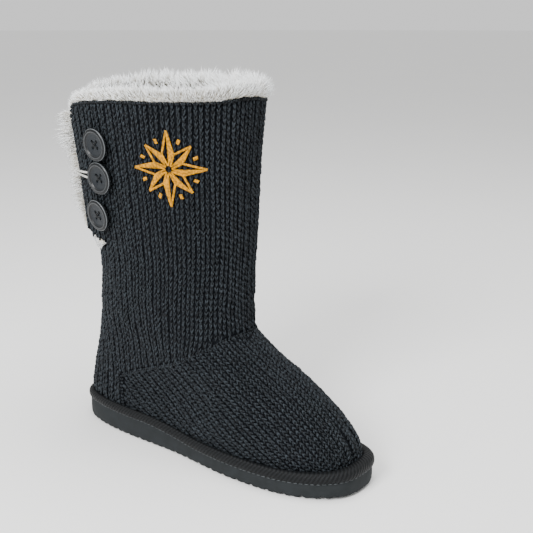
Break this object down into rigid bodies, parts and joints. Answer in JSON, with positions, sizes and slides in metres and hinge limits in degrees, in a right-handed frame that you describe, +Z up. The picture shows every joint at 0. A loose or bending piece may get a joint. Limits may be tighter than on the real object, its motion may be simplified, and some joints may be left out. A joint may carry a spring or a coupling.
{
  "type": "mukluk boot",
  "caption": "Right-foot knitted winter boot with a fur collar, a buttoned side slit, a rounded rand and a rippled foam wedge sole.",
  "frame": {"origin": "on the floor, at the middle of the sole's length on its centre line", "axes": "+Z up out of the collar, -Y towards the toe, -X towards the outer (lateral) side of the right foot"},
  "size_m": [0.1257, 0.273, 0.2955],
  "materials": {
    "foam_sole": "moulded foam, matt",
    "rand_strip": "cloth-faced strip, matt",
    "knit": "chunky rib knit",
    "fleece": "short pile",
    "faux_fur": "deep pile",
    "button": "satin",
    "elastic": "braided"
  },
  "bodies": {
    "root": {"outsole": "foam_sole", "rand": "rand_strip", "upper": "knit", "insole": "fleece", "collar_fur": "faux_fur", "slit_fur": "faux_fur", "slit_lining": "fleece", "button_top": "button", "button_middle": "button", "button_bottom": "button", "button_loop": "elastic"}
  },
  "joints": []
}
